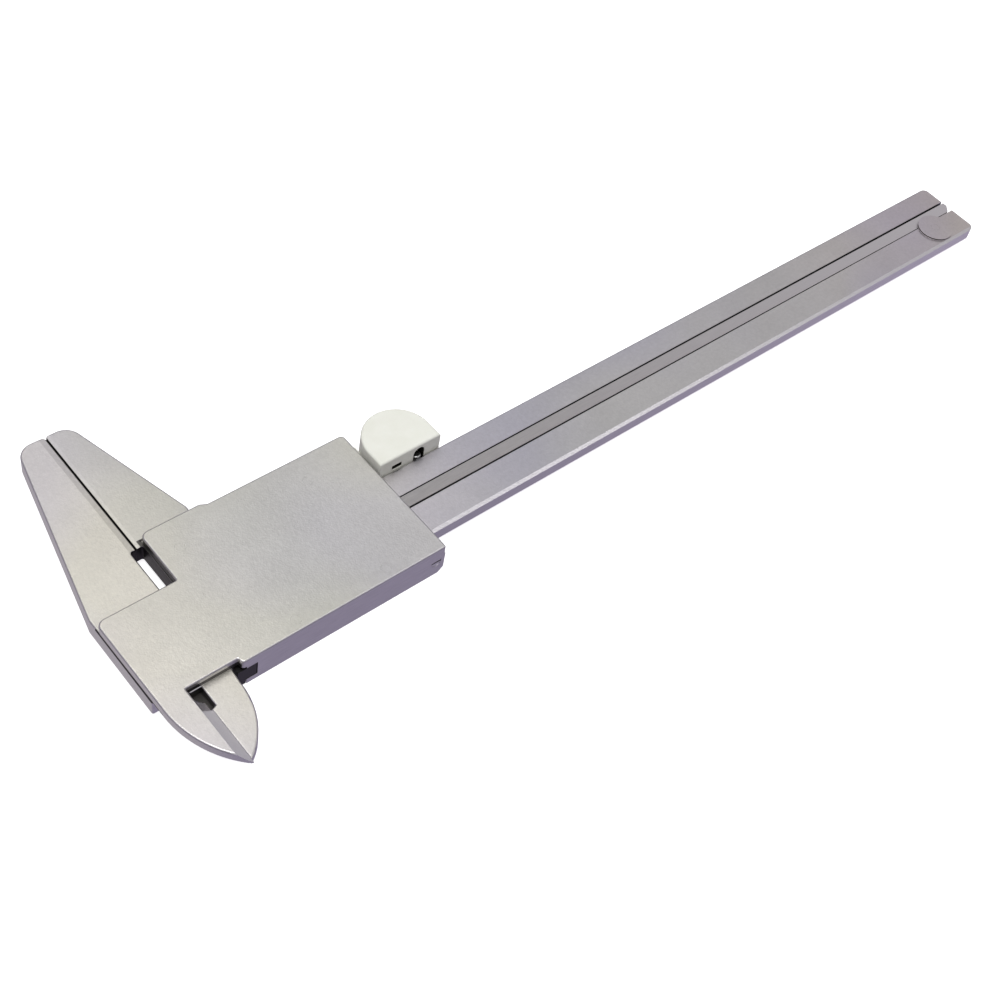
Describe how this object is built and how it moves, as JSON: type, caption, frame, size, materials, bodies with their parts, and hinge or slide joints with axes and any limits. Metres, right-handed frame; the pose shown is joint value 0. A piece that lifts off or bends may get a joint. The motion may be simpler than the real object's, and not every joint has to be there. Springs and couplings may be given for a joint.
{
  "type": "vernier caliper",
  "caption": "Vernier caliper with outside, inside and depth measuring, a slider wrapped round a flat beam, and a sprung thumb roller in a plastic housing.",
  "frame": {"origin": "under the middle of the closed caliper's box, on the surface that it lies on with its back up", "axes": "+X along the beam from the jaws to the tail and in the direction in which the slider opens, +Y towards the outside jaws, +Z out of the back"},
  "size_m": [0.2276, 0.08, 0.0088],
  "materials": {
    "beam_steel": "satin, bead-blasted",
    "slider_steel": "satin, bead-blasted",
    "scale_chrome": "satin chrome",
    "rod_steel": "ground",
    "fastener_steel": "turned",
    "gib_steel": "blackened strip",
    "roller_steel": "knurled and turned",
    "spring_steel": "rolled strip",
    "housing_plastic": "moulded, fine texture",
    "washer_nylon": "matte"
  },
  "bodies": {
    "beam": {"main_beam": "beam_steel", "tail_stop": "beam_steel", "tail_stop_rivet": "beam_steel"},
    "slider": {"back_plate": "slider_steel", "slider_frame": "slider_steel", "plate_rivets": "slider_steel", "plate_dowels": "fastener_steel", "gib_strip": "gib_steel", "gib_screw": "fastener_steel", "metric_vernier": "scale_chrome", "inch_vernier": "scale_chrome", "vernier_screws": "fastener_steel", "depth_rod": "rod_steel", "rod_pins": "fastener_steel", "roller_housing": "housing_plastic", "housing_screw": "fastener_steel", "roller_spring": "spring_steel"},
    "roller": {"roller_shaft": "roller_steel", "thumb_wheel": "roller_steel", "wheel_washer": "washer_nylon"}
  },
  "joints": [
    {"name": "slider_slide", "type": "slide", "parent": "beam", "child": "slider", "axis": [1, 0, 0], "range_m": [0, 0.1525]},
    {"name": "roller_spin", "type": "hinge", "parent": "slider", "child": "roller", "pos_m": [-0.04235, -0.00175, 0.0037], "axis": [0, 0, 1], "continuous": true}
  ],
  "couplings": [
    {"joint": "roller_spin", "follows": "slider_slide", "rad_per_m": -1000}
  ]
}
